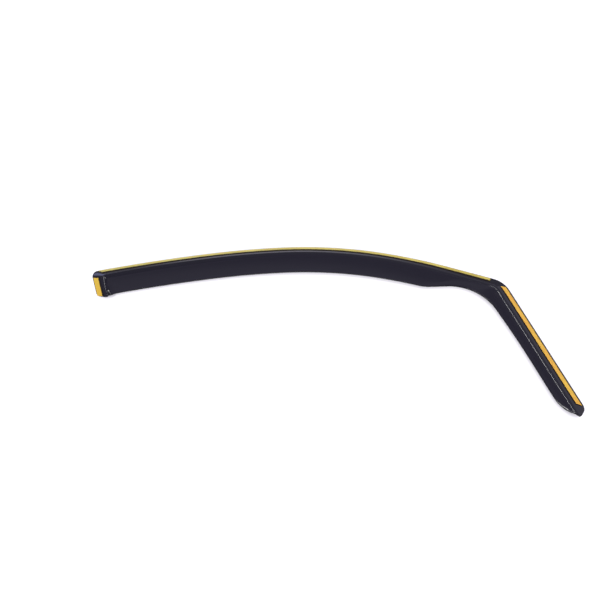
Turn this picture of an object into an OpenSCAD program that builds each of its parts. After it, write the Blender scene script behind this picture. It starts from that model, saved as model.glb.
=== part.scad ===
// Front window rain deflector for one side of a car, in smoked acrylic.
// It lies as it would on a table, on the free edge of its fixing flange.
// +X runs from the rear end to the front corner, +Y is the roof side, +Z is up.
// Every line of the part follows the outer edge of the flange in plan: up the
// rear end, forward along the curved top edge and down the straight front leg.

/* [Sheet] */
// Thickness of the acrylic sheet
wall = 3; // [2:0.5:4]
// Height of the blade's cut edge above the table
blade_edge_height = 12; // [10:0.5:13.5]
// Rise of the blade's middle above a flat sheet
blade_crown = 0.6; // [0:0.1:1.5]

/* [Flange] */
// Width of the flange, from its free edge up to the fold
flange_w = 23.4; // [22:0.2:26]
// Slope of the flange along the rear end, in degrees
rear_slope = 35; // [30:1:40]
// Slope of the flange at the rear of the top edge
top_slope = 38.5; // [33:0.5:42]
// Slope of the flange where the top edge meets the front corner
corner_slope = 33.5; // [30:0.5:38]
// Slope of the flange along the leg
leg_slope = 28; // [24:1:32]
// Radius of the fold between flange and shoulder, measured as its setback
fold_setback = 1.6; // [0.8:0.2:2.4]

/* [Shoulder] */
// Slope of the shoulder between the fold and the crease
shoulder_slope = 15; // [12:1:18]
// Width of the shoulder along the rear end
rear_shoulder = 5.3; // [4.5:0.1:7]
// Width of the shoulder at the rear of the top edge
top_shoulder = 9.6; // [7:0.2:11]
// Width of the shoulder at the front corner
corner_shoulder = 5.4; // [4.5:0.1:7]
// Width of the shoulder along the leg
leg_shoulder = 4.7; // [4:0.1:6]
// Setback of the soft crease along the top edge
top_crease_setback = 2; // [1:0.2:2.2]
// Setback of the sharp crease along the leg
leg_crease_setback = 0.6; // [0.4:0.1:1.6]

/* [Top edge] */
// Direction of the top edge as it leaves the rear corner, in degrees
top_heading = 11.7; // [9:0.1:14]
// Straight run of the top edge after the rear corner
top_lead = 42.3; // [40:0.1:55]
// Radius of the first curved stretch
radius_1 = 2660; // [2200:20:3200]
// Length of the first curved stretch
length_1 = 172; // [150:1:195]
// Radius of the second curved stretch
radius_2 = 1370; // [1150:10:1650]
// Length of the second curved stretch
length_2 = 123; // [105:1:145]
// Radius of the third curved stretch
radius_3 = 760; // [640:5:900]
// Length of the third curved stretch
length_3 = 194; // [170:1:220]
// Radius of the fourth curved stretch
radius_4 = 970; // [800:10:1200]
// Length of the fourth curved stretch
length_4 = 97; // [80:1:115]
// Straight run of the top edge before the front corner
top_tail = 97.3; // [80:0.1:120]

/* [Rear end] */
// Turn from the rear end into the top edge, in degrees
rear_turn = 96.3; // [90:0.1:100]
// Length of the rear end, from the sharp corner to its nose
rear_len = 63.5; // [60:0.5:70]
// Reach of the cut corner at the rear end, along the free edge
rear_cut = 13.7; // [11:0.1:14]
// Angle of that cut to the free edge, in degrees
rear_cut_angle = 50; // [44:1:50]
// Slant of the rear end's lower edge behind its nose, in degrees
rear_slant = 27; // [20:1:32]
// Corner radius of the flange's free edge at the rear corner
rear_corner_radius = 10; // [7:0.5:12]
// Corner radius of the fold at the rear corner
rear_fold_radius = 4; // [3:0.5:5]
// Corner radius of the crease at the rear corner
rear_crease_radius = 3; // [2:0.5:4]

/* [Leg] */
// Turn from the top edge into the leg, in degrees
leg_turn = 48.7; // [44:0.1:52]
// Length of the leg, from the sharp corner to its tip
leg_len = 263; // [230:0.2:290]
// Reach of the cut corner at the tip, along the free edge
leg_cut = 10.2; // [8:0.1:10.4]
// Angle of that cut to the free edge, in degrees
leg_cut_angle = 60; // [52:1:60]
// Slant of the tip's end behind its nose, in degrees
tip_slant = 48; // [40:1:52]
// Radius where the free edge turns into a cut corner
cut_radius = 13; // [10:0.5:16]
// Radius of the nose beyond a cut corner
nose_radius = 4; // [3:0.5:5]
// Corner radius of the flange's free edge at the front corner
front_corner_radius = 40; // [32:1:46]
// Corner radius of the fold at the front corner
front_fold_radius = 18; // [14:1:22]
// Radius of the blade's edge where it runs out at the leg's tip
tip_radius = 57; // [50:1:65]

/* [Blade] */
// Least width over which the blade falls from the crease to its edge
blade_fall = 13; // [8:0.5:13.5]
// Depth of the part behind the top edge, from the free edge to the blade's edge
top_depth = 55.3; // [50:0.5:60]
// Depth of the part across the leg
leg_depth = 39.5; // [38:0.5:44]
// Distance of the step in the blade's edge from the front corner
step_from_corner = 131; // [124:1:150]
// Turn of the blade's edge at the step, in degrees
step_turn = 17; // [12:0.5:19]
// Radius that softens the step
step_radius = 60; // [30:5:80]
// Radius of the bay where the blade's edge swings into the leg
bay_radius = 84; // [70:1:95]
// Extra depth of the leg at the front corner
leg_flare = 7.7; // [4:0.1:10]
// Run of the leg over which that extra depth fades out
leg_flare_run = 150; // [130:5:180]

/* [Tape] */
// Width of the foam tape
tape_w = 10.5; // [9:0.5:11.5]
// Bare margin between the flange's free edge and the tape
tape_margin = 3.8; // [3:0.2:5]
// Thickness of the foam tape
foam_t = 1; // [0.8:0.1:1.5]
// Thickness of the release liner
liner_t = 0.15; // [0.1:0.05:0.3]
// Glue line under the foam, and under the liner
glue_gap = 0.05; // [0.04:0.01:0.08]
// Distance of the top tape from the rear corner
top_tape_rear = 13; // [12:1:30]
// Distance of the top tape's other end from the front corner
top_tape_front = 24; // [20:1:35]
// Slant of the top tape's rear end
top_tape_slant = 7; // [4:0.5:9]
// Distance of the leg tape from the front corner
leg_tape_start = 12; // [11:1:24]
// Distance between the leg tape's end and the leg's tip
leg_tape_end = 16; // [14.5:0.5:25]
// Slant of the leg tape's ends
leg_tape_slant = 5; // [3:0.5:6]
// Distance of the rear tape from the rear corner
rear_tape_start = 14.5; // [13:0.5:20]
// Distance between the rear tape's end and the rear end's nose
rear_tape_end = 12; // [11.5:0.5:18]
// Slant of the rear tape's ends
rear_tape_slant = 6.5; // [5:0.5:7]

/* [Hidden] */

shell_colour = [0.10, 0.10, 0.12];
foam_colour = [0.16, 0.12, 0.10];
liner_colour = [0.90, 0.70, 0.28];

// Lines of the section, numbered from the free edge inwards
FREE = 0;
FOLD = 1;
CREASE = 2;

// How finely each stretch is divided
cut_steps = 3;
rear_nose_steps = 2;
tip_nose_steps = 4;
end_steps = rear_nose_steps + cut_steps + 1;
tip_steps = cut_steps + tip_nose_steps + 1;
corner_steps = 8;
top_steps = 30;
step_steps = 4;
bay_steps = 20;
leg_steps = 5;
bend_steps = 4;
blade_steps = 5;
tape_corner_steps = 4;

// Stations of the top edge lie clear of both corners
top_clear = 46;
corner_clear = 26;
// Leg stations that share the bay with the front corner
bay_leg_run = 66;
bay_leg_steps = 5;
// What is left of the blade at the two ends of the strip
rear_blade_gap = 9;
tip_blade_gap = 3;
// A bend takes up at most this share of the run beside it
bend_share = 0.8;
// Under the sheet, a crease is sharper than on top by this factor
inner_crease = 0.7;
// No corner of the section is sharper than this
least_radius = 0.6;

function along(a) = [cos(a), sin(a)];
function inward(a) = [sin(a), -cos(a)];
function mix(a, b, t) = a + (b - a) * t;
function unit(v) = v / norm(v);
function lift(p, z) = [p.x, p.y, z];

// A straight or curved run: the point and heading at distance s along it
function run(p, h, r, s) =
    r == 0 ? [p + s * along(h), h] :
    let (t = s / r * 180 / PI, c = p + r * inward(h)) [c - r * inward(h - t), h - t];

// The top edge as a chain of tangent runs, from the sharp rear corner
top_runs = [[0, top_lead], [radius_1, length_1], [radius_2, length_2],
            [radius_3, length_3], [radius_4, length_4], [0, top_tail]];
top_len = top_lead + length_1 + length_2 + length_3 + length_4 + top_tail;
function walk(s, i = 0, p = [0, 0], h = top_heading) =
    let (r = top_runs[i][0], l = top_runs[i][1])
    s <= l || i == len(top_runs) - 1 ? run(p, h, r, s) :
    let (e = run(p, h, r, l)) walk(s - l, i + 1, e[0], e[1]);

rear_heading = top_heading + rear_turn;
rear_corner = [0, 0];
front_corner = walk(top_len)[0];
corner_heading = walk(top_len)[1];
leg_heading = corner_heading - leg_turn;

// Where two lines meet that lie d1 and d2 inside two edges through v
function meet(v, h1, h2, d1, d2) =
    let (c = cos(h1 - h2))
    v + ((d1 - d2 * c) * inward(h1) + (d2 - d1 * c) * inward(h2)) / (1 - c * c);
// A rounded corner between those two lines; a negative radius turns left
function corner(v, h1, h2, d1, d2, r, n) =
    let (c = meet(v, h1, h2, d1 + r, d2 + r))
    [for (j = [0:n]) c - r * inward(mix(h1, h2, j / n))];

// One line of the section as [distance inside the free edge, height]:
// on top of the sheet, or under it
function over(line, slope, shoulder) =
    let (free = [0, wall * cos(slope)],
         fold = free + flange_w * [cos(slope), sin(slope)])
    line == FREE ? free : line == FOLD ? fold :
    fold + shoulder * [cos(shoulder_slope), sin(shoulder_slope)];
function under(line, slope, shoulder, droop) =
    let (a = line == CREASE ? shoulder_slope : slope,
         b = line == FREE ? slope : line == FOLD ? shoulder_slope : -droop)
    over(line, slope, shoulder)
    + wall / cos((a - b) / 2) * [sin((a + b) / 2), -cos((a + b) / 2)];
function spot(side, line, slope, shoulder, depth) =
    let (crease = over(CREASE, slope, shoulder),
         droop = atan2(crease.y - blade_edge_height, depth - crease.x))
    side == 0 ? over(line, slope, shoulder) : under(line, slope, shoulder, droop);

function slope_at(s) = mix(top_slope, corner_slope, pow(s / top_len, 3));
function shoulder_at(s) = mix(top_shoulder, corner_shoulder, s / top_len);
function rear_spot(side, line) = spot(side, line, rear_slope, rear_shoulder, top_depth);
function top_spot(side, line, s) = spot(side, line, slope_at(s), shoulder_at(s), top_depth);
function leg_spot(side, line) = spot(side, line, leg_slope, leg_shoulder, leg_depth);

// Places measured along the rear end and the leg, from their sharp corners
function on_rear(a, q) = rear_corner - a * along(rear_heading) + q * inward(rear_heading);
function on_leg(a, q) = front_corner + a * along(leg_heading) + q * inward(leg_heading);

// Where the free edge leaves its straight line at the two ends
rear_round_at = rear_len - rear_cut - cut_radius * tan(rear_cut_angle / 2);
leg_round_at = leg_len - leg_cut - cut_radius * tan(leg_cut_angle / 2);
// Distances of the two noses inside the free edge
rear_nose = rear_cut * tan(rear_cut_angle);
tip_nose = leg_cut * tan(leg_cut_angle);
// How far each end reaches along its flange, q inside the free edge
function rear_reach(q) = rear_len - (q - rear_nose) * tan(rear_slant);
function tip_reach(q) = leg_len - (q - tip_nose) * tan(tip_slant);

// Stations of the top edge, before and after the step in the blade's edge
step_at = top_len - step_from_corner;
top_stations = [for (j = [0:top_steps]) mix(top_clear, step_at, j / top_steps)];
bay_top_steps = step_steps + bay_steps - corner_steps - bay_leg_steps;
bay_stations = [for (j = [1:bay_top_steps])
                mix(step_at, top_len - corner_clear, j / bay_top_steps)];

// A whole line of the section, from the lower rear end to the leg's tip
function corner_line(v, h1, h2, a, b, r, n) =
    let (p = corner(v, h1, h2, a.x, b.x, r, n))
    [for (j = [0:n]) lift(p[j], mix(a.y, b.y, j / n))];
// The free edge round each cut corner, in plan
rear_free = concat(
    corner(on_rear(rear_len, rear_nose), rear_heading + 90 + rear_slant, rear_heading + rear_cut_angle,
           0, 0, nose_radius, rear_nose_steps),
    corner(on_rear(rear_len - rear_cut, 0), rear_heading + rear_cut_angle, rear_heading, 0, 0,
           cut_radius, cut_steps));
tip_free = concat(
    corner(on_leg(leg_len - leg_cut, 0), leg_heading, leg_heading - leg_cut_angle, 0, 0,
           cut_radius, cut_steps),
    corner(on_leg(leg_len, tip_nose), leg_heading - leg_cut_angle, leg_heading - 90 - tip_slant, 0, 0,
           nose_radius, tip_nose_steps));
// The same points on the flange's plane, whose free edge lies at m
function on_plane(p, v, heading, slope, m) =
    let (in = inward(heading), q = (p - v) * in) lift(p + m.x * in, m.y + q * tan(slope));
// The rear end's crease sinks with the blade, which is flat there
function sunk(side, p) =
    let (t = top_spot(0, CREASE, top_clear), d = (p - rear_corner) * inward(top_heading),
         drop = (t.y - blade_edge_height) * (d - t.x) / (top_depth - t.x))
    lift(p, t.y - drop + rear_spot(side, CREASE).y - rear_spot(0, CREASE).y);
function rear_line(side, line) =
    let (m = rear_spot(side, line), e = rear_reach(rear_spot(0, line).x))
    [for (j = [0:end_steps]) let (p = on_rear(mix(e, rear_round_at, j / end_steps), m.x))
     line == FREE ? on_plane(rear_free[j], rear_corner, rear_heading, rear_slope, m) :
     line == FOLD ? lift(p, m.y) : sunk(side, p)];
function rear_turning(side, line, r) =
    let (m = rear_spot(side, line), t = top_spot(side, line, top_clear))
    line == CREASE ? [for (p = corner(rear_corner, rear_heading, top_heading, m.x, t.x, r, corner_steps))
                      sunk(side, p)]
                   : corner_line(rear_corner, rear_heading, top_heading, m, t, r, corner_steps);
function tip_line(side, line) =
    let (m = leg_spot(side, line), e = tip_reach(leg_spot(0, line).x))
    [for (j = [0:tip_steps])
     line == FREE ? on_plane(tip_free[j], front_corner, leg_heading, leg_slope, m)
                  : lift(on_leg(mix(leg_round_at, e, j / tip_steps), m.x), m.y)];
function top_line(side, line, stations) =
    [for (s = stations) let (w = walk(s), m = top_spot(side, line, s))
     lift(w[0] + m.x * inward(w[1]), m.y)];
leg_stations = [for (j = [1:bay_leg_steps]) mix(corner_clear, bay_leg_run, j / bay_leg_steps)];
lower_leg_stations = [for (j = [1:leg_steps]) mix(bay_leg_run, leg_round_at, j / (leg_steps + 1))];
function leg_line(side, line, stations) =
    let (m = leg_spot(side, line)) [for (a = stations) lift(on_leg(a, m.x), m.y)];

rear_radii = [rear_corner_radius, rear_fold_radius, rear_crease_radius];
front_radii = [front_corner_radius, front_fold_radius, front_fold_radius - corner_shoulder];
function corner_radius(radii, side, line, shift) = max(radii[line] - side * shift, least_radius);

function rail(side, line) =
    let (dr = rear_spot(side, line).x - rear_spot(0, line).x,
         front = top_spot(side, line, top_len),
         leg = leg_spot(side, line), df = leg.x - leg_spot(0, line).x)
    concat(
        rear_line(side, line),
        rear_turning(side, line, corner_radius(rear_radii, side, line, dr)),
        top_line(side, line, top_stations),
        top_line(side, line, bay_stations),
        corner_line(front_corner, corner_heading, leg_heading, front, leg,
                    corner_radius(front_radii, side, line, df), corner_steps),
        leg_line(side, line, leg_stations),
        leg_line(side, line, lower_leg_stations),
        tip_line(side, line));

rails_over = [for (line = [FREE:CREASE]) rail(0, line)];
rails_under = [for (line = [FREE:CREASE]) rail(1, line)];

// The blade's cut edge in plan, paired station by station with the rails above
function edge_at(s) = let (w = walk(s)) w[0] + top_depth * inward(w[1]);
rear_pairs = end_steps + corner_steps + 2;
rear_edge_first = meet(rear_corner, rear_heading, top_heading,
                       rear_spot(0, CREASE).x + rear_blade_gap, top_depth);
rear_edge_start = (rear_edge_first - rear_corner) * along(top_heading);
rear_edge = [for (j = [0:rear_pairs - 1]) edge_at(mix(rear_edge_start, top_clear, j / rear_pairs))];
step_point = edge_at(step_at);
step_heading = walk(step_at)[1];
notch_heading = step_heading + step_turn;
step_edge = corner(step_point, step_heading, notch_heading, 0, 0, -step_radius, step_steps);
// The bay: from the line beyond the step round to the leg, which starts a little deeper
function cross2(a, b) = a.x * b.y - a.y * b.x;
function leg_depth_at(a) = leg_depth + leg_flare * pow(max(1 - a / leg_flare_run, 0), 2);
bay_end = on_leg(bay_leg_run, leg_depth_at(bay_leg_run));
bay_heading = leg_heading + atan(2 * leg_flare / leg_flare_run * (1 - bay_leg_run / leg_flare_run));
bay_corner = step_point + along(notch_heading)
    * cross2(bay_end - step_point, along(bay_heading)) / cross2(along(notch_heading), along(bay_heading));
bay_edge = corner(bay_corner, notch_heading, bay_heading, 0, 0, bay_radius, bay_steps);
// The run-out at the tip: a wide curve that ends on the tip's slant
tip_edge_depth = leg_spot(0, CREASE).x + tip_blade_gap;
tip_curve_turn = acos(1 - (leg_depth - tip_edge_depth) / tip_radius);
tip_curve_at = tip_reach(tip_edge_depth) - tip_radius * sin(tip_curve_turn);
lower_leg_edge = [for (j = [1:leg_steps]) let (a = mix(bay_leg_run, tip_curve_at, j / (leg_steps + 1)))
                  on_leg(a, leg_depth_at(a))];
tip_edge = [for (j = [0:tip_steps])
            run(on_leg(tip_curve_at, leg_depth), leg_heading, -tip_radius,
                tip_radius * tip_curve_turn * j / tip_steps * PI / 180)[0]];
top_blade_edge = [for (j = [0:top_steps - 1]) edge_at(top_stations[j])];
blade_plan = concat(rear_edge, top_blade_edge, step_edge, bay_edge, lower_leg_edge, tip_edge);
// Where the blade narrows to nothing at the two ends, its edge rises to the crease
blade_edge = [for (i = [0:len(blade_plan) - 1])
    let (crease = rails_over[CREASE][i], reach = norm(blade_plan[i] - [crease.x, crease.y]))
    let (rise = max(crease.z - blade_edge_height, 0))
    lift(blade_plan[i], blade_edge_height + rise * max(1 - reach / blade_fall, 0))];

// The rounded bend at q on the way from p to r
function bend(p, q, r, setback) =
    let (s = min(setback, bend_share * norm(p - q), bend_share * norm(r - q)),
         a = q + s * unit(p - q), b = q + s * unit(r - q))
    [for (j = [0:bend_steps]) let (t = j / bend_steps) mix(mix(a, q, t), mix(q, b, t), t)];
function blade(a, e) =
    [for (j = [1:blade_steps]) let (t = j / blade_steps)
     mix(a, e, t) + [0, 0, 4 * blade_crown * t * (1 - t)]];
// One side of the sheet at one station, from the free edge to the blade's edge
function strip(free, fold, crease, edge, crease_setback) =
    let (turn = bend(fold, crease, edge, crease_setback))
    concat([free], bend(free, fold, crease, fold_setback), turn, blade(turn[bend_steps], edge));

stations = len(blade_edge);
leg_first = stations - tip_steps - leg_steps - bay_leg_steps - 1;
function crease_setback_at(i) = i < leg_first ? mix(top_crease_setback, leg_crease_setback, i / leg_first)
                                              : leg_crease_setback;
function blade_drop(i) =
    let (v = rails_over[CREASE][i] - blade_edge[i]) wall / cos(atan2(v.z, norm([v.x, v.y])));
shell_rings = [for (i = [0:stations - 1])
    let (s = crease_setback_at(i),
         top = strip(rails_over[FREE][i], rails_over[FOLD][i], rails_over[CREASE][i], blade_edge[i], s),
         base = strip(rails_under[FREE][i], rails_under[FOLD][i], rails_under[CREASE][i],
                      blade_edge[i] - [0, 0, blade_drop(i)], s * inner_crease),
         n = len(top))
    concat(top, [for (j = [n - 1:-1:0]) base[j]])];

// The part's own origin: the middle of its plan, at table height
outline = concat(rails_over[FREE], rails_over[FOLD], blade_edge);
plan_x = [for (p = outline) p.x];
plan_y = [for (p = outline) p.y];
origin = [(min(plan_x) + max(plan_x)) / 2, (min(plan_y) + max(plan_y)) / 2, 0];

// A closed solid through rings of points; each ring runs out over one side
// and back under the other, and its two halves close the ends
module loft(rings) {
    n = len(rings[0]);
    m = len(rings);
    side = [for (i = [0:m - 2], j = [0:n - 1]) let (k = (j + 1) % n, a = i * n, b = a + n)
            each [[a + j, b + j, b + k], [a + j, b + k, a + k]]];
    function cap(a) = [for (j = [0:n / 2 - 2]) let (k = n - 1 - j)
                       each [[a + j, a + j + 1, a + k - 1], [a + j, a + k - 1, a + k]]];
    back = [for (f = cap((m - 1) * n)) [f[2], f[1], f[0]]];
    polyhedron([for (r = rings) each r], concat(side, cap(0), back));
}

module deflector_shell() color(shell_colour) translate(-origin) loft(shell_rings);

// A place on the top edge's flange, w from the free edge and h above the face
function on_top(s, w, h) =
    let (a = walk(s), t = slope_at(s),
         q = w * cos(t) - h * sin(t), z = wall * cos(t) + w * sin(t) + h * cos(t))
    lift(a[0] + q * inward(a[1]), z);
inner_margin = tape_margin + tape_w;
top_tape_end = top_len - top_tape_front;
top_tape_stations = concat(top_stations, [for (s = bay_stations) if (s < top_tape_end) s], [top_tape_end]);
function top_section(outer, inner, low, high) =
    [on_top(outer, tape_margin, high), on_top(inner, inner_margin, high),
     on_top(inner, inner_margin, low), on_top(outer, tape_margin, low)];
module top_strip(low, high) translate(-origin)
    loft(concat([top_section(top_tape_rear, top_tape_rear + top_tape_slant, low, high)],
                [for (s = top_tape_stations) top_section(s, s, low, high)]));

// A place on the leg's flange; short of the straight run it follows the corner
leg_arc_end = front_corner_radius * tan(leg_turn / 2);
leg_arc_step = front_corner_radius * leg_turn / corner_steps * PI / 180;
leg_first_station = end_steps + 1 + corner_steps + 1 + top_steps + 1 + bay_top_steps + corner_steps;
function rail_at(line, i) =
    let (k = min(floor(i), leg_first_station - 1)) mix(rails_over[line][k], rails_over[line][k + 1], i - k);
function on_leg_face(a, w, h) =
    let (back = max(leg_arc_end - a, 0) / leg_arc_step,
         i = leg_first_station - back,
         forth = max(a - leg_arc_end, 0) * along(leg_heading),
         free = rail_at(FREE, i) + lift(forth, 0),
         up = unit(rail_at(FOLD, i) + lift(forth, 0) - free),
         ahead = lift(along(leg_heading + back * leg_turn / corner_steps), 0))
    free + w * up + h * unit(cross(up, ahead));
leg_tape_runs = concat([for (j = [0:tape_corner_steps])
                        mix(leg_tape_start, leg_arc_end + leg_tape_slant, j / tape_corner_steps)],
                       [leg_len - leg_tape_end]);
module leg_strip(low, high) translate(-origin)
    loft([for (a = leg_tape_runs)
          [on_leg_face(a, tape_margin, high), on_leg_face(a - leg_tape_slant, inner_margin, high),
           on_leg_face(a - leg_tape_slant, inner_margin, low), on_leg_face(a, tape_margin, low)]]);

// The rear end's flange is flat: x runs up along it and y is out of the part
module rear_strip(low, high)
    translate([0, 0, wall * cos(rear_slope)] - origin)
    rotate([0, 0, rear_heading]) rotate([-rear_slope, 0, 0]) translate([0, 0, low]) linear_extrude(high - low)
        polygon([[-rear_tape_start, -tape_margin],
                 [-rear_tape_start - rear_tape_slant, -inner_margin],
                 [rear_tape_end - rear_len - rear_tape_slant, -inner_margin],
                 [rear_tape_end - rear_len, -tape_margin]]);

foam_low = glue_gap;
foam_high = foam_low + foam_t;
liner_low = foam_high + glue_gap;
liner_high = liner_low + liner_t;
module top_foam_tape() color(foam_colour) top_strip(foam_low, foam_high);
module top_release_liner() color(liner_colour) top_strip(liner_low, liner_high);
module leg_foam_tape() color(foam_colour) leg_strip(foam_low, foam_high);
module leg_release_liner() color(liner_colour) leg_strip(liner_low, liner_high);
module rear_foam_tape() color(foam_colour) rear_strip(foam_low, foam_high);
module rear_release_liner() color(liner_colour) rear_strip(liner_low, liner_high);

deflector_shell();
top_foam_tape();
top_release_liner();
leg_foam_tape();
leg_release_liner();
rear_foam_tape();
rear_release_liner();
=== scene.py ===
from math import acos, atan, atan2, cos, hypot, pi, radians, sin, tan

import bpy
from mathutils import Matrix, Vector


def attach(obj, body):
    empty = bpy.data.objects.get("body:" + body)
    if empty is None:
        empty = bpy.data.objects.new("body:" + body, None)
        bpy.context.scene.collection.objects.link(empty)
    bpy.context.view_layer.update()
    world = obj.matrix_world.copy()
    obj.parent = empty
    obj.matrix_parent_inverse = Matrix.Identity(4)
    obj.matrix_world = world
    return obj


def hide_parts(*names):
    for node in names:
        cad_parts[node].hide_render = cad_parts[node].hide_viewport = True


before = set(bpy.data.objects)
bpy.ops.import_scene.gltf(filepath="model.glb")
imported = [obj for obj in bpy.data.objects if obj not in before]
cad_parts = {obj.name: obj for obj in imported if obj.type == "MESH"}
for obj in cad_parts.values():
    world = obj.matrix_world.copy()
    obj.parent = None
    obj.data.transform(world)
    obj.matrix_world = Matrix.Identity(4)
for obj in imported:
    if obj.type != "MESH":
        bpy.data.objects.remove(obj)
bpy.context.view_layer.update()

MM = 0.001

# Sizes of the deflector, in millimetres and degrees, as the part is built

wall = 3.0
blade_edge_height = 12.0
blade_crown = 0.6
flange_w = 23.4
rear_slope, leg_slope = radians(35), radians(28)
top_slope, corner_slope = radians(38.5), radians(33.5)
fold_setback = 1.6
shoulder_slope = radians(15)
rear_shoulder, top_shoulder, corner_shoulder, leg_shoulder = 5.3, 9.6, 5.4, 4.7
top_crease_setback, leg_crease_setback = 2.0, 0.6

top_heading = radians(11.7)
top_lead, top_tail = 42.3, 97.3
top_curves = [(2660, 172), (1370, 123), (760, 194), (970, 97)]

rear_turn = radians(96.3)
rear_len = 63.5
rear_cut, rear_cut_angle = 13.7, radians(50)
rear_slant = radians(27)
rear_corner_radius, rear_fold_radius, rear_crease_radius = 10.0, 4.0, 3.0

leg_turn = radians(48.7)
leg_len = 263.0
leg_cut, leg_cut_angle = 10.2, radians(60)
tip_slant = radians(48)
cut_radius, nose_radius = 13.0, 4.0
front_corner_radius, front_fold_radius = 40.0, 18.0
tip_radius = 57.0

blade_fall = 13.0
top_depth, leg_depth = 55.3, 39.5
step_from_corner, step_turn, step_radius = 131.0, radians(17), 60.0
bay_radius = 84.0
leg_flare, leg_flare_run = 7.7, 150.0

tape_w, tape_margin = 10.5, 3.8
foam_t, liner_t, glue_gap = 1.0, 0.15, 0.05
top_tape_rear, top_tape_front, top_tape_slant = 13.0, 24.0, 7.0
leg_tape_start, leg_tape_end, leg_tape_slant = 12.0, 16.0, 5.0
rear_tape_start, rear_tape_end, rear_tape_slant = 14.5, 12.0, 6.5

# How finely each stretch is divided

CUT_STEPS = 8
REAR_NOSE_STEPS = 6
TIP_NOSE_STEPS = 10
END_STEPS = REAR_NOSE_STEPS + CUT_STEPS + 1
TIP_STEPS = CUT_STEPS + TIP_NOSE_STEPS + 1
CORNER_STEPS = 24
TOP_STEPS = 110
STEP_STEPS = 14
BAY_STEPS = 50
BAY_LEG_STEPS = 14
LEG_STEPS = 24
BEND_STEPS = 8
BLADE_STEPS = 8
FLANGE_STEPS = 4

# Runs left clear beside the corners, gaps at the blade's ends, and how the bends are rounded

TOP_CLEAR, CORNER_CLEAR = 46.0, 26.0
BAY_LEG_RUN = 66.0
REAR_BLADE_GAP, TIP_BLADE_GAP = 9.0, 3.0
BEND_SHARE = 0.8
LEAST_RADIUS = 0.6
EDGE_ROUND = 0.45
ROUND_STEPS = 3
INNER_CREASE = 0.7
SHARP_ANGLE = radians(40)

# Blade depth at which the rear strips have their whole crown; shorter ones have less than the solid

FULL_CROWN = 26.0

# The lines of the section, and its two sides

FREE, FOLD, CREASE = 0, 1, 2
OVER, UNDER = 0, 1


# Plan geometry

def along(a):
    return Vector((cos(a), sin(a), 0))


def inward(a):
    return Vector((sin(a), -cos(a), 0))


def mix(a, b, t):
    return a + (b - a) * t


def fractions(n, first=0):
    return [j / n for j in range(first, n + 1)]


def at_height(p, z):
    return Vector((p.x, p.y, z))


def run(p, heading, radius, s):
    """Point and heading at distance s along a straight or curved run."""
    if not radius:
        return p + s * along(heading), heading
    turn = s / radius
    centre = p + radius * inward(heading)
    return centre - radius * inward(heading - turn), heading - turn


def walk(s):
    """Point and heading at distance s along the top edge, from the sharp rear corner."""
    p, heading = Vector((0, 0, 0)), top_heading
    for radius, length in [(0, top_lead)] + top_curves:
        if s <= length:
            return run(p, heading, radius, s)
        p, heading = run(p, heading, radius, length)
        s -= length
    return run(p, heading, 0, s)


top_len = top_lead + top_tail + sum(length for radius, length in top_curves)
rear_heading = top_heading + rear_turn
rear_corner = Vector((0, 0, 0))
front_corner, corner_heading = walk(top_len)
leg_heading = corner_heading - leg_turn


def meet(v, h1, h2, d1, d2):
    """Where two lines meet that lie d1 and d2 inside two edges through v."""
    c = cos(h1 - h2)
    return v + ((d1 - d2 * c) * inward(h1) + (d2 - d1 * c) * inward(h2)) / (1 - c * c)


def corner(v, h1, h2, d1, d2, radius, n):
    """A rounded corner between those two lines; a negative radius turns left."""
    centre = meet(v, h1, h2, d1 + radius, d2 + radius)
    return [centre - radius * inward(mix(h1, h2, t)) for t in fractions(n)]


def on_rear(a, q):
    return rear_corner - a * along(rear_heading) + q * inward(rear_heading)


def on_leg(a, q):
    return front_corner + a * along(leg_heading) + q * inward(leg_heading)


# The section across the flange and shoulder, as (distance inside the free edge, height)

def over_spot(line, slope, shoulder):
    x, z = 0, wall * cos(slope)
    if line >= FOLD:
        x, z = x + flange_w * cos(slope), z + flange_w * sin(slope)
    if line == CREASE:
        x, z = x + shoulder * cos(shoulder_slope), z + shoulder * sin(shoulder_slope)
    return x, z


def section_spot(side, line, slope, shoulder, depth):
    x, z = over_spot(line, slope, shoulder)
    if side == OVER:
        return x, z
    crease_x, crease_z = over_spot(CREASE, slope, shoulder)
    droop = atan2(crease_z - blade_edge_height, depth - crease_x)
    before = shoulder_slope if line == CREASE else slope
    after = (slope, shoulder_slope, -droop)[line]
    middle, reach = (before + after) / 2, wall / cos((before - after) / 2)
    return x + reach * sin(middle), z - reach * cos(middle)


def slope_at(s):
    return mix(top_slope, corner_slope, (s / top_len) ** 3)


def rear_spot(side, line):
    return section_spot(side, line, rear_slope, rear_shoulder, top_depth)


def top_spot(side, line, s):
    return section_spot(side, line, slope_at(s), mix(top_shoulder, corner_shoulder, s / top_len), top_depth)


def leg_spot(side, line):
    return section_spot(side, line, leg_slope, leg_shoulder, leg_depth)


# Each line of the section, over and under the sheet, from the rear end to the leg's tip

rear_round_at = rear_len - rear_cut - cut_radius * tan(rear_cut_angle / 2)
leg_round_at = leg_len - leg_cut - cut_radius * tan(leg_cut_angle / 2)
rear_nose = rear_cut * tan(rear_cut_angle)
tip_nose = leg_cut * tan(leg_cut_angle)
step_at = top_len - step_from_corner
bay_top_steps = STEP_STEPS + BAY_STEPS - CORNER_STEPS - BAY_LEG_STEPS
top_stations = [mix(TOP_CLEAR, step_at, t) for t in fractions(TOP_STEPS)]
bay_stations = [mix(step_at, top_len - CORNER_CLEAR, t) for t in fractions(bay_top_steps, 1)]
leg_stations = [mix(CORNER_CLEAR, BAY_LEG_RUN, t) for t in fractions(BAY_LEG_STEPS, 1)]
lower_leg_stations = [mix(BAY_LEG_RUN, leg_round_at, t) for t in fractions(LEG_STEPS + 1, 1)[:-1]]


def rear_reach(q):
    return rear_len - (q - rear_nose) * tan(rear_slant)


def tip_reach(q):
    return leg_len - (q - tip_nose) * tan(tip_slant)


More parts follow.
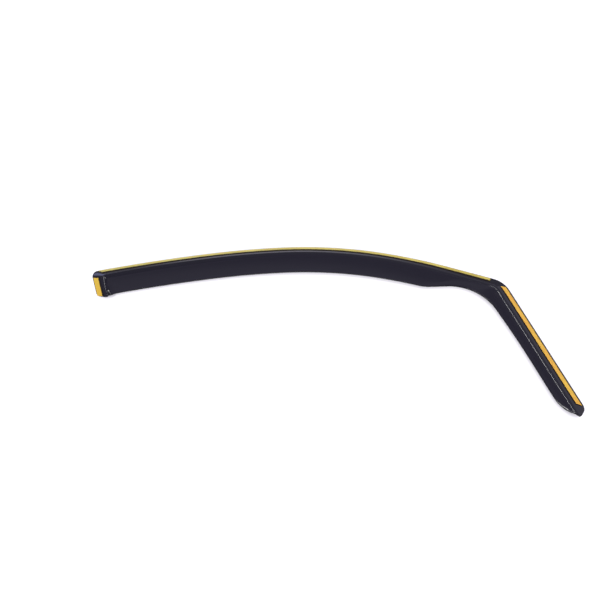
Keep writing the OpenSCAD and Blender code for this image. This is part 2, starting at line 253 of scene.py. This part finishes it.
rear_free = corner(on_rear(rear_len, rear_nose), rear_heading + pi / 2 + rear_slant,
                   rear_heading + rear_cut_angle, 0, 0, nose_radius, REAR_NOSE_STEPS)
rear_free += corner(on_rear(rear_len - rear_cut, 0), rear_heading + rear_cut_angle, rear_heading,
                    0, 0, cut_radius, CUT_STEPS)
tip_free = corner(on_leg(leg_len - leg_cut, 0), leg_heading, leg_heading - leg_cut_angle,
                  0, 0, cut_radius, CUT_STEPS)
tip_free += corner(on_leg(leg_len, tip_nose), leg_heading - leg_cut_angle, leg_heading - pi / 2 - tip_slant,
                   0, 0, nose_radius, TIP_NOSE_STEPS)


def on_plane(p, v, heading, slope, spot):
    """A point of an end's outline, lifted onto that end's flange."""
    inside = inward(heading)
    return at_height(p + spot[0] * inside, spot[1] + (p - v).dot(inside) * tan(slope))


def corner_line(v, h1, h2, a, b, radius):
    points = corner(v, h1, h2, a[0], b[0], radius, CORNER_STEPS)
    return [at_height(p, mix(a[1], b[1], t)) for p, t in zip(points, fractions(CORNER_STEPS))]


def sunk(side, p):
    """A point of the rear end's crease, which sinks with the flat blade."""
    x, z = top_spot(OVER, CREASE, TOP_CLEAR)
    drop = (z - blade_edge_height) * ((p - rear_corner).dot(inward(top_heading)) - x) / (top_depth - x)
    return at_height(p, z - drop + rear_spot(side, CREASE)[1] - rear_spot(OVER, CREASE)[1])


def rear_line(side, line):
    spot = rear_spot(side, line)
    if line == FREE:
        return [on_plane(p, rear_corner, rear_heading, rear_slope, spot) for p in rear_free]
    end = rear_reach(rear_spot(OVER, line)[0])
    points = [on_rear(mix(end, rear_round_at, t), spot[0]) for t in fractions(END_STEPS)]
    return [at_height(p, spot[1]) if line == FOLD else sunk(side, p) for p in points]


def rear_turning(side, line, radius):
    rear, top = rear_spot(side, line), top_spot(side, line, TOP_CLEAR)
    if line == CREASE:
        points = corner(rear_corner, rear_heading, top_heading, rear[0], top[0], radius, CORNER_STEPS)
        return [sunk(side, p) for p in points]
    return corner_line(rear_corner, rear_heading, top_heading, rear, top, radius)


def tip_line(side, line):
    spot = leg_spot(side, line)
    if line == FREE:
        return [on_plane(p, front_corner, leg_heading, leg_slope, spot) for p in tip_free]
    end = tip_reach(leg_spot(OVER, line)[0])
    return [at_height(on_leg(mix(leg_round_at, end, t), spot[0]), spot[1]) for t in fractions(TIP_STEPS)]


def top_line(side, line, stations):
    points = []
    for s in stations:
        (p, heading), (x, z) = walk(s), top_spot(side, line, s)
        points.append(at_height(p + x * inward(heading), z))
    return points


def leg_line(side, line, stations):
    x, z = leg_spot(side, line)
    return [at_height(on_leg(a, x), z) for a in stations]


rear_radii = [rear_corner_radius, rear_fold_radius, rear_crease_radius]
front_radii = [front_corner_radius, front_fold_radius, front_fold_radius - corner_shoulder]


def rail(side, line):
    rear_shift = rear_spot(side, line)[0] - rear_spot(OVER, line)[0]
    leg, leg_shift = leg_spot(side, line), leg_spot(side, line)[0] - leg_spot(OVER, line)[0]
    return (rear_line(side, line)
            + rear_turning(side, line, max(rear_radii[line] - rear_shift, LEAST_RADIUS))
            + top_line(side, line, top_stations) + top_line(side, line, bay_stations)
            + corner_line(front_corner, corner_heading, leg_heading, top_spot(side, line, top_len), leg,
                          max(front_radii[line] - leg_shift, LEAST_RADIUS))
            + leg_line(side, line, leg_stations) + leg_line(side, line, lower_leg_stations)
            + tip_line(side, line))


rails, rails_under = [[rail(side, line) for line in (FREE, FOLD, CREASE)] for side in (OVER, UNDER)]


# The blade's cut edge, paired station by station with the rails

def edge_at(s):
    p, heading = walk(s)
    return p + top_depth * inward(heading)


def leg_depth_at(a):
    return leg_depth + leg_flare * max(1 - a / leg_flare_run, 0) ** 2


def cross2(a, b):
    return a.x * b.y - a.y * b.x


rear_pairs = END_STEPS + CORNER_STEPS + 2
rear_edge_depth = rear_spot(OVER, CREASE)[0] + REAR_BLADE_GAP
rear_edge_first = meet(rear_corner, rear_heading, top_heading, rear_edge_depth, top_depth)
rear_edge_start = (rear_edge_first - rear_corner).dot(along(top_heading))
rear_edge = [edge_at(mix(rear_edge_start, TOP_CLEAR, j / rear_pairs)) for j in range(rear_pairs)]
step_point, step_heading = edge_at(step_at), walk(step_at)[1]
notch_heading = step_heading + step_turn
step_edge = corner(step_point, step_heading, notch_heading, 0, 0, -step_radius, STEP_STEPS)
bay_end = on_leg(BAY_LEG_RUN, leg_depth_at(BAY_LEG_RUN))
bay_heading = leg_heading + atan(2 * leg_flare / leg_flare_run * (1 - BAY_LEG_RUN / leg_flare_run))
bay_corner = step_point + along(notch_heading) * (
    cross2(bay_end - step_point, along(bay_heading)) / cross2(along(notch_heading), along(bay_heading)))
bay_edge = corner(bay_corner, notch_heading, bay_heading, 0, 0, bay_radius, BAY_STEPS)
tip_edge_depth = leg_spot(OVER, CREASE)[0] + TIP_BLADE_GAP
tip_curve_turn = acos(1 - (leg_depth - tip_edge_depth) / tip_radius)
tip_curve_at = tip_reach(tip_edge_depth) - tip_radius * sin(tip_curve_turn)
lower_leg_edge = [on_leg(a, leg_depth_at(a)) for a in
                  [mix(BAY_LEG_RUN, tip_curve_at, t) for t in fractions(LEG_STEPS + 1, 1)[:-1]]]
tip_edge = [run(on_leg(tip_curve_at, leg_depth), leg_heading, -tip_radius, tip_radius * tip_curve_turn * t)[0]
            for t in fractions(TIP_STEPS)]
blade_plan = (rear_edge + [edge_at(s) for s in top_stations[:-1]] + step_edge + bay_edge
              + lower_leg_edge + tip_edge)


def edge_point(i):
    crease = rails[CREASE][i]
    reach = (at_height(blade_plan[i], 0) - at_height(crease, 0)).length
    start = max(crease.z, blade_edge_height)
    return at_height(blade_plan[i], mix(start, blade_edge_height, min(reach / blade_fall, 1)))


blade_edge = [edge_point(i) for i in range(len(blade_plan))]
outline = rails[FREE] + rails[FOLD] + blade_edge
origin = Vector(((min(p.x for p in outline) + max(p.x for p in outline)) / 2,
                 (min(p.y for p in outline) + max(p.y for p in outline)) / 2, 0))


# The sheet: a closed ring of points round its section at every station

def bend(p, q, r, setback, steps=BEND_STEPS):
    """The rounded bend at q on the way from p to r."""
    s = min(setback, BEND_SHARE * (p - q).length, BEND_SHARE * (r - q).length)
    a, b = q + s * (p - q).normalized(), q + s * (r - q).normalized()
    return [mix(mix(a, q, t), mix(q, b, t), t) for t in fractions(steps)]


def strip(free, fold, crease, edge, setback, crown):
    """One side of the sheet, from the free edge to the blade's edge."""
    flange = bend(free, fold, crease, fold_setback)
    turn = bend(fold, crease, edge, setback)
    blade = [mix(turn[-1], edge, u) + Vector((0, 0, 4 * crown * u * (1 - u)))
             for u in fractions(BLADE_STEPS, 1)]
    return [mix(free, flange[0], u) for u in fractions(FLANGE_STEPS)[:-1]] + flange + turn + blade


leg_first = len(blade_edge) - TIP_STEPS - LEG_STEPS - BAY_LEG_STEPS - 1


def sides(i):
    """Both sides of the sheet at station i."""
    setback = mix(top_crease_setback, leg_crease_setback, min(i / leg_first, 1))
    crease, edge = rails[CREASE][i], blade_edge[i]
    fall = crease - edge
    reach = hypot(fall.x, fall.y)
    crown = blade_crown * min(reach / FULL_CROWN, 1) if i < rear_pairs else blade_crown
    drop = wall * fall.length / reach
    over = strip(rails[FREE][i], rails[FOLD][i], crease, edge, setback, crown)
    under = strip(rails_under[FREE][i], rails_under[FOLD][i], rails_under[CREASE][i],
                  edge - Vector((0, 0, drop)), setback * INNER_CREASE, crown)
    return over, under


def ring(over, under):
    """The closed outline of the section, its four cut corners rounded off."""
    loop = over + under[::-1]
    n = len(over)
    points = []
    for j, p in enumerate(loop):
        if j in (0, n - 1, n, 2 * n - 1):
            points += bend(loop[j - 1], p, loop[(j + 1) % (2 * n)], EDGE_ROUND, ROUND_STEPS)
        else:
            points.append(p)
    return points


def core(over, under):
    """For every point of the ring, the place in the sheet's middle that faces it."""
    middle = [mix(a, b, 0.5) for a, b in zip(over, under)]
    ends = [middle[0] + (middle[1] - middle[0]).normalized() * min(wall / 2, (middle[1] - middle[0]).length),
            middle[-1] + (middle[-2] - middle[-1]).normalized() * wall / 2]
    inner = [ends[0]] * (ROUND_STEPS + 1) + middle[1:-1] + [ends[1]] * (ROUND_STEPS + 1)
    return inner + inner[::-1]


def end_rings(i, neighbour):
    """The rings that round off the sheet's end at station i, from the side inwards."""
    outline, before, inner = ring(*sides(i)), ring(*sides(neighbour)), core(*sides(i))
    turned = []
    for t in fractions(ROUND_STEPS):
        back, inset = EDGE_ROUND * (1 - sin(t * pi / 2)), EDGE_ROUND * (1 - cos(t * pi / 2)) / (wall / 2)
        turned.append([mix(p, c, inset) + back * (q - p).normalized()
                       for p, q, c in zip(outline, before, inner)])
    return turned


def mesh_object(name, vertices, faces):
    mesh = bpy.data.meshes.new(name)
    mesh.from_pydata(vertices, [], faces)
    mesh.update()
    obj = bpy.data.objects.new(name, mesh)
    bpy.context.scene.collection.objects.link(obj)
    return obj


def grid_object(name, rows):
    """An open sheet through rows of points, with its faces looking up."""
    n = len(rows[0])
    vertices = [(p - origin) * MM for row in rows for p in row]
    faces = [(i * n + j, i * n + j + 1, (i + 1) * n + j + 1, (i + 1) * n + j)
             for i in range(len(rows) - 1) for j in range(n - 1)]
    obj = mesh_object(name, vertices, [f[::-1] for f in faces])
    if sum(p.normal.z for p in obj.data.polygons) < 0:
        obj.data.flip_normals()
    return obj


def applied(obj):
    """The object with its modifiers turned into a plain mesh."""
    graph = bpy.context.evaluated_depsgraph_get()
    mesh = bpy.data.meshes.new_from_object(obj.evaluated_get(graph))
    obj.modifiers.clear()
    obj.data = mesh
    return obj


def moulded_sheet():
    """The whole sheet as one closed mesh; its rims are the second material."""
    last = len(blade_edge) - 1
    rings = (end_rings(0, 1)[::-1] + [ring(*sides(i)) for i in range(1, last)]
             + end_rings(last, last - 1))
    n = len(rings[0])
    vertices = [(p - origin) * MM for points in rings for p in points]
    faces = [(i * n + j, (i + 1) * n + j, (i + 1) * n + (j + 1) % n, i * n + (j + 1) % n)
             for i in range(len(rings) - 1) for j in range(n)]
    for start, flip in ((0, 1), ((len(rings) - 1) * n, -1)):
        faces += [(start + j, start + j + 1, start + n - 2 - j, start + n - 1 - j)[::flip]
                  for j in range(n // 2 - 1)]
    obj = mesh_object("moulded_sheet", vertices, faces)
    mesh = obj.data
    half = n // 2
    rim = ROUND_STEPS // 2
    for p, (i, j) in zip(mesh.polygons, [(i, j) for i in range(len(rings) - 1) for j in range(n)]):
        if j <= rim or j >= n - 1 - rim or half - 1 - rim <= j <= half - 1 + rim:
            p.material_index = 1
    for p in mesh.polygons[(len(rings) - 1) * n:]:
        p.material_index = 1
    return obj


# Materials

def linear(code):
    """An sRGB hex colour as linear red, green, blue and alpha."""
    values = [int(code[i:i + 2], 16) / 255 for i in (1, 3, 5)]
    return [v / 12.92 if v <= 0.04045 else ((v + 0.055) / 1.055) ** 2.4 for v in values] + [1]


def add(tree, kind, inputs=None, **settings):
    """A node with its settings, and its inputs set or linked by name or number."""
    node = tree.nodes.new(kind)
    for key, value in settings.items():
        setattr(node, key, value)
    for key, value in (inputs or {}).items():
        socket = node.inputs[key]
        if isinstance(value, bpy.types.NodeSocket):
            tree.links.new(value, socket)
        else:
            socket.default_value = value
    return node


def material(name):
    mat = bpy.data.materials.new(name)
    mat.use_nodes = True
    mat.node_tree.nodes.clear()
    return mat, mat.node_tree


def finish_material(tree, shader):
    add(tree, "ShaderNodeOutputMaterial", {"Surface": shader.outputs[0]})


def smoked_acrylic():
    """Moulded smoked acrylic, PMMA: nearly black with a cool cast, glossy, a little wavy from the mould."""
    mat, tree = material("smoked_acrylic_moulded")
    place = add(tree, "ShaderNodeTexCoord").outputs["Object"]
    waves = add(tree, "ShaderNodeTexNoise", {"Vector": place, "Scale": 45.0, "Detail": 1.5})
    haze = add(tree, "ShaderNodeTexNoise", {"Vector": place, "Scale": 160.0, "Detail": 4.0, "Roughness": 0.6})
    gloss = add(tree, "ShaderNodeMapRange", {"Value": haze.outputs["Fac"], "To Min": 0.10, "To Max": 0.20})
    bump = add(tree, "ShaderNodeBump", {"Height": waves.outputs["Fac"], "Strength": 0.04, "Distance": 0.0006})
    shader = add(tree, "ShaderNodeBsdfPrincipled", {
        "Base Color": linear("#1c1a26"), "Roughness": gloss.outputs["Result"], "IOR": 1.49,
        "Normal": bump.outputs["Normal"]})
    finish_material(tree, shader)
    return mat


def routed_edge():
    """The same acrylic where the sheet was trimmed: a satin edge with fine cutter marks."""
    mat, tree = material("smoked_acrylic_routed")
    place = add(tree, "ShaderNodeTexCoord").outputs["Object"]
    marks = add(tree, "ShaderNodeTexNoise", {"Vector": place, "Scale": 900.0, "Detail": 2.0})
    bump = add(tree, "ShaderNodeBump", {"Height": marks.outputs["Fac"], "Strength": 0.3, "Distance": 0.0002})
    shader = add(tree, "ShaderNodeBsdfPrincipled", {
        "Base Color": linear("#1c1c22"), "Roughness": 0.38, "IOR": 1.49, "Normal": bump.outputs["Normal"]})
    finish_material(tree, shader)
    return mat


def acrylic_foam():
    """Closed-cell acrylic foam tape, slit to width: dark brown, dull, with fine cells."""
    mat, tree = material("acrylic_foam_slit")
    place = add(tree, "ShaderNodeTexCoord").outputs["Object"]
    cells = add(tree, "ShaderNodeTexVoronoi", {"Vector": place, "Scale": 1600.0})
    tint = add(tree, "ShaderNodeMix", {"Factor": cells.outputs["Distance"], 6: linear("#241a08"),
                                       7: linear("#3d2d12")}, data_type="RGBA")
    bump = add(tree, "ShaderNodeBump", {"Height": cells.outputs["Distance"], "Strength": 0.5,
                                        "Distance": 0.0003})
    shader = add(tree, "ShaderNodeBsdfPrincipled", {
        "Base Color": tint.outputs[2], "Roughness": 0.85, "IOR": 1.45, "Normal": bump.outputs["Normal"]})
    finish_material(tree, shader)
    return mat


def liner_film(name, light, deep, drift=0.0):
    """Siliconised polyethylene release film: warm yellow, satin, with soft streaks.

    Drift deepens its colour along X."""
    mat, tree = material(name)
    place = add(tree, "ShaderNodeTexCoord").outputs["Object"]
    streaks = add(tree, "ShaderNodeTexNoise", {"Vector": place, "Scale": 28.0, "Detail": 3.0,
                                               "Roughness": 0.55})
    across = add(tree, "ShaderNodeSeparateXYZ", {0: place}).outputs["X"]
    depth = add(tree, "ShaderNodeMath", {0: across, 1: drift, 2: streaks.outputs["Fac"]},
                operation="MULTIPLY_ADD")
    tint = add(tree, "ShaderNodeMix", {"Factor": depth.outputs[0], 6: linear(light), 7: linear(deep)},
               data_type="RGBA")
    bump = add(tree, "ShaderNodeBump", {"Height": streaks.outputs["Fac"], "Strength": 0.2,
                                        "Distance": 0.0004})
    shader = add(tree, "ShaderNodeBsdfPrincipled", {
        "Base Color": tint.outputs[2], "Roughness": 0.45, "IOR": 1.5, "Specular IOR Level": 0.3,
        "Normal": bump.outputs["Normal"]})
    finish_material(tree, shader)
    return mat


# The tapes: a ribbon on the flange's face, lifted and thickened by one node tree

MERGE_DISTANCE = 1e-6


def strip_tree():
    """Lifts a ribbon off the flange and gives it its thickness."""
    tree = bpy.data.node_groups.new("tape_strip", "GeometryNodeTree")
    sockets = [("Geometry", "NodeSocketGeometry"), ("Lift", "NodeSocketFloat"),
               ("Thickness", "NodeSocketFloat"), ("Finish", "NodeSocketMaterial")]
    for name, kind in sockets:
        tree.interface.new_socket(name, in_out="INPUT", socket_type=kind)
    tree.interface.new_socket("Geometry", in_out="OUTPUT", socket_type="NodeSocketGeometry")
    given = add(tree, "NodeGroupInput").outputs
    facing = add(tree, "GeometryNodeInputNormal").outputs[0]
    offset = add(tree, "ShaderNodeVectorMath", {0: facing, "Scale": given["Lift"]}, operation="SCALE")
    base = add(tree, "GeometryNodeSetPosition", {"Geometry": given["Geometry"], "Offset": offset.outputs[0]})
    top = add(tree, "GeometryNodeExtrudeMesh", {"Mesh": base.outputs[0], "Offset Scale": given["Thickness"],
                                                "Individual": False})
    under = add(tree, "GeometryNodeFlipFaces", {"Mesh": base.outputs[0]})
    both = tree.nodes.new("GeometryNodeJoinGeometry")
    for part in (top, under):
        tree.links.new(part.outputs[0], both.inputs[0])
    closed = add(tree, "GeometryNodeMergeByDistance", {"Geometry": both.outputs[0],
                                                       "Distance": MERGE_DISTANCE})
    real = add(tree, "GeometryNodeRealizeInstances", {"Geometry": closed.outputs[0]})
    dressed = add(tree, "GeometryNodeSetMaterial", {"Geometry": real.outputs[0], "Material": given["Finish"]})
    add(tree, "NodeGroupOutput", {"Geometry": dressed.outputs[0]})
    return tree


def top_face(s, w):
    (p, heading), slope = walk(s), slope_at(s)
    return at_height(p + w * cos(slope) * inward(heading), wall * cos(slope) + w * sin(slope))


def rear_face(a, w):
    return at_height(on_rear(a, w * cos(rear_slope)), wall * cos(rear_slope) + w * sin(rear_slope))


leg_arc_end = front_corner_radius * tan(leg_turn / 2)
leg_arc_step = front_corner_radius * leg_turn / CORNER_STEPS
leg_first_station = END_STEPS + CORNER_STEPS + TOP_STEPS + bay_top_steps + CORNER_STEPS + 3


def rail_at(line, i):
    k = min(int(i), leg_first_station - 1)
    return rails[line][k].lerp(rails[line][k + 1], i - k)


def leg_face(a, w):
    i = leg_first_station - max(leg_arc_end - a, 0) / leg_arc_step
    forth = max(a - leg_arc_end, 0) * along(leg_heading)
    free, fold = rail_at(FREE, i), rail_at(FOLD, i)
    return free + forth + w * (fold - free).normalized()


TAPE_ROWS = 240
TAPE_COLUMNS = 6


def ribbon(name, face, first, last, slants, shifts):
    """A ribbon on one stretch of flange; its inner side starts and ends later by the slants."""
    rows = []
    for t in fractions(TAPE_ROWS):
        row = []
        for u in fractions(TAPE_COLUMNS):
            start, end = first + slants[0] * u, last + slants[1] * u
            row.append(face(mix(start, end, t), tape_margin + tape_w * u + mix(*shifts, u)))
        rows.append(row)
    return grid_object(name, rows)


def tape_piece(name, tree, ribbon_values, shifts, lift, thickness, finish):
    """One finished strip of foam or liner."""
    obj = ribbon(name, *ribbon_values, shifts)
    maker = obj.modifiers.new("strip", "NODES")
    maker.node_group = tree
    keys = {item.name: item.identifier for item in tree.interface.items_tree if item.in_out == "INPUT"}
    values = {"Lift": lift * MM, "Thickness": thickness * MM, "Finish": finish}
    for key, value in values.items():
        maker[keys[key]] = value
    return applied(obj)


stretches = {
    "top": (top_face, top_tape_rear, top_len - top_tape_front, (top_tape_slant, 0)),
    "leg": (leg_face, leg_tape_start, leg_len - leg_tape_end, (-leg_tape_slant, -leg_tape_slant)),
    "rear": (rear_face, rear_tape_start, rear_len - rear_tape_end, (rear_tape_slant, rear_tape_slant)),
}

sheet = moulded_sheet()
sheet.data.materials.append(smoked_acrylic())
sheet.data.materials.append(routed_edge())
applied(sheet)
sheet.data.shade_smooth()
sheet.data.set_sharp_from_angle(angle=SHARP_ANGLE)
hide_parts("deflector_shell")
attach(sheet, "root")

tree = strip_tree()
foam_finish = acrylic_foam()
# The three films differ in colour; the top film's pale colour is partly painted light, standing in for light
# its tilted-away flange does not get.
liner_finish = {"top": liner_film("liner_film_olive", "#fcee82", "#ccb54e", 0.9),
                "leg": liner_film("liner_film_amber", "#efd050", "#f2a042"),
                "rear": liner_film("liner_film_yellow", "#d6bc48", "#cc9a30")}
# How far each liner's outer and inner side lie off the foam's, away from the free edge
liner_shifts = {"top": (-0.3, -1.8), "leg": (1.6, 0.7), "rear": (-1.4, -1.6)}
foam_high = glue_gap + foam_t
for place, values in stretches.items():
    foam = tape_piece(place + "_foam", tree, values, (0, 0), glue_gap, foam_t, foam_finish)
    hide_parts(place + "_foam_tape")
    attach(foam, "root")
    liner = tape_piece(place + "_liner", tree, values, liner_shifts[place], foam_high + glue_gap, liner_t,
                       liner_finish[place])
    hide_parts(place + "_release_liner")
    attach(liner, "root")


# Floor, surroundings, lamps and camera

def paper_floor():
    """White seamless paper: it glows white for the camera, and ambient occlusion dims that glow close to the
    part into a soft lavender painted shadow.

    The part mirrors it dimmed, most of all at the two ends, which is fitted to the photo."""
    mat, tree = material("seamless_paper")
    path = add(tree, "ShaderNodeLightPath").outputs
    seen = add(tree, "ShaderNodeMath", {0: path["Is Camera Ray"], 1: path["Is Transmission Ray"]},
               operation="MAXIMUM")
    # The paper's glow for the camera is dimmed by ambient occlusion tilted towards the front: a painted
    # shadow beside the part.
    toward_front = add(tree, "ShaderNodeCombineXYZ", {"Y": -0.35, "Z": 0.94})
    open_sky = add(tree, "ShaderNodeAmbientOcclusion", {"Distance": 0.018, "Normal": toward_front.outputs[0]},
                   samples=16)
    clear = add(tree, "ShaderNodeMapRange", {"Value": open_sky.outputs["AO"], "From Min": 0.4,
                                             "From Max": 0.95, "To Max": 0.95})
    shadowed_glow = add(tree, "ShaderNodeMath", {0: seen.outputs[0], 1: clear.outputs["Result"]},
                 operation="MULTIPLY")
    place = add(tree, "ShaderNodeTexCoord").outputs["Object"]
    across = add(tree, "ShaderNodeSeparateXYZ", {0: place}).outputs["X"]
    right = add(tree, "ShaderNodeMapRange", {"Value": across, "From Min": -0.05, "From Max": 0.3,
                                             "To Min": 0.15, "To Max": 0.85}, interpolation_type="SMOOTHSTEP")
    left = add(tree, "ShaderNodeMapRange", {"Value": across, "From Min": -0.36, "From Max": -0.2,
                                            "To Min": 0.7, "To Max": 0.15}, interpolation_type="SMOOTHSTEP")
    dark = add(tree, "ShaderNodeMath", {0: left.outputs["Result"], 1: right.outputs["Result"]},
               operation="MAXIMUM")
    dark = add(tree, "ShaderNodeMath", {0: dark.outputs[0], 1: path["Is Glossy Ray"]}, operation="MULTIPLY")
    mirrored = add(tree, "ShaderNodeMath", {0: path["Is Glossy Ray"], 1: dark.outputs[0]},
                   operation="SUBTRACT")
    mirrored = add(tree, "ShaderNodeMath", {0: mirrored.outputs[0], 1: 0.28}, operation="MULTIPLY")
    glow = add(tree, "ShaderNodeMath", {0: shadowed_glow.outputs[0], 1: mirrored.outputs[0]}, operation="MAXIMUM")
    paper = add(tree, "ShaderNodeMix", {"Factor": dark.outputs[0], 6: linear("#cfcdd4"),
                                        7: linear("#08080a")}, data_type="RGBA")
    shader = add(tree, "ShaderNodeBsdfPrincipled", {
        "Base Color": paper.outputs[2], "Roughness": 1.0, "Specular IOR Level": 0.0,
        "Emission Color": linear("#fdfbff"), "Emission Strength": glow.outputs[0]})
    finish_material(tree, shader)
    return mat


PAPER_HALF = 4.0
PAPER_DROP = 0.0002

paper_corners = [(x * PAPER_HALF, y * PAPER_HALF, -PAPER_DROP)
                 for x, y in ((-1, -1), (1, -1), (1, 1), (-1, 1))]
floor = mesh_object("paper_floor", paper_corners, [(0, 1, 2, 3)])
floor.data.materials.append(paper_floor())


def room():
    """A dim room: pale walls to the right, dark ones to the left, a grey ceiling and a cool window behind.

    The camera itself sees it white, as the paper's far end."""
    world = bpy.data.worlds.new("room")
    world.use_nodes = True
    tree = world.node_tree
    tree.nodes.clear()
    way = add(tree, "ShaderNodeTexCoord").outputs["Generated"]
    axes = add(tree, "ShaderNodeSeparateXYZ", {0: way}).outputs
    walls = add(tree, "ShaderNodeMapRange", {"Value": axes["Z"], "From Min": 0.05, "From Max": 0.45,
                                             "To Min": 0.7, "To Max": 0.28}, interpolation_type="SMOOTHSTEP")
    lean = add(tree, "ShaderNodeMath", {0: axes["Y"], 1: 2.0, 2: axes["X"]}, operation="MULTIPLY_ADD")
    fade = add(tree, "ShaderNodeMapRange", {"Value": lean.outputs[0], "From Min": -0.1, "From Max": 0.45,
                                            "To Min": 1.85, "To Max": 0.9}, interpolation_type="SMOOTHSTEP")
    ceiling = add(tree, "ShaderNodeMapRange", {"Value": axes["Z"], "From Min": 0.55, "From Max": 0.95,
                                               "To Min": 1.0, "To Max": fade.outputs["Result"]},
                  interpolation_type="SMOOTHSTEP")
    side = add(tree, "ShaderNodeMapRange", {"Value": axes["X"], "From Min": -0.85, "From Max": 0.1,
                                            "To Min": 0.3, "To Max": 1.0}, interpolation_type="SMOOTHSTEP")
    light = add(tree, "ShaderNodeMath", {0: walls.outputs["Result"], 1: ceiling.outputs["Result"]},
                operation="MULTIPLY")
    light = add(tree, "ShaderNodeMath", {0: light.outputs[0], 1: side.outputs["Result"]},
                operation="MULTIPLY")
    toward = add(tree, "ShaderNodeVectorMath", {0: way, 1: (-0.64, 0.76, 0.03)}, operation="DOT_PRODUCT")
    glow = add(tree, "ShaderNodeMapRange", {"Value": toward.outputs["Value"], "From Min": 0.90,
                                            "From Max": 0.98}, interpolation_type="SMOOTHSTEP")
    window = glow.outputs["Result"]
    light = add(tree, "ShaderNodeMath", {0: window, 1: 2.2, 2: light.outputs[0]}, operation="MULTIPLY_ADD")
    tint = add(tree, "ShaderNodeMix", {"Factor": window, 6: linear("#f1effd"), 7: linear("#c3c9ff")},
               data_type="RGBA")
    back = add(tree, "ShaderNodeBackground", {"Color": tint.outputs[2], "Strength": light.outputs[0]})
    white = add(tree, "ShaderNodeBackground", {"Color": (1.0, 1.0, 1.0, 1.0), "Strength": 1.0})
    seen = add(tree, "ShaderNodeLightPath").outputs["Is Camera Ray"]
    view = add(tree, "ShaderNodeMixShader", {0: seen, 1: back.outputs[0], 2: white.outputs[0]})
    add(tree, "ShaderNodeOutputWorld", {"Surface": view.outputs[0]})
    bpy.context.scene.world = world


def softbox(name, place, along_x, size, power, aim=(0.0, 0.0, 0.0), spread=180):
    """A rectangular lamp at a place, turned towards its aim; its long side follows along_x."""
    lamp = bpy.data.lights.new(name, "AREA")
    lamp.shape = "RECTANGLE"
    lamp.size, lamp.size_y = size
    lamp.energy = power
    lamp.spread = radians(spread)
    obj = bpy.data.objects.new(name, lamp)
    back = (Vector(place) - Vector(aim)).normalized()
    up = back.cross(Vector(along_x)).normalized()
    obj.matrix_world = Matrix.Translation(place) @ Matrix((up.cross(back), up, back)).transposed().to_4x4()
    bpy.context.scene.collection.objects.link(obj)


# The right lamp draws the leg's crease. Its spread is narrow because the blade's end under the rear
# corner would mirror it as a streak. The spot only lights the crease at the rear.

leg_middle = (0.33, 0.0, 0.0)
rear_crease_start = (-0.377, 0.087, 0.018)

room()
softbox("right_softbox", (1.44, 1.07, 1.82), (0.29, -0.51, 0.0), (1.2, 0.5), 1.3, leg_middle, 28)
softbox("left_fill", (-1.6, -1.5, 1.9), (0.7, -0.7, 0.0), (1.6, 1.2), 76)
softbox("corner_spot", (-2.0, 0.5, 0.8), (0.0, 1.0, 0.0), (0.22, 0.22), 1.3, rear_crease_start)

camera = bpy.data.objects.new("camera", bpy.data.cameras.new("camera"))
camera.data.lens = 48
camera.data.sensor_width = 36
camera.location = (-0.04606, -0.58605, 1.20360)
camera.rotation_euler = (radians(28), 0, 0)
bpy.context.scene.collection.objects.link(camera)
bpy.context.scene.camera = camera
bpy.context.scene.view_settings.view_transform = "Standard"
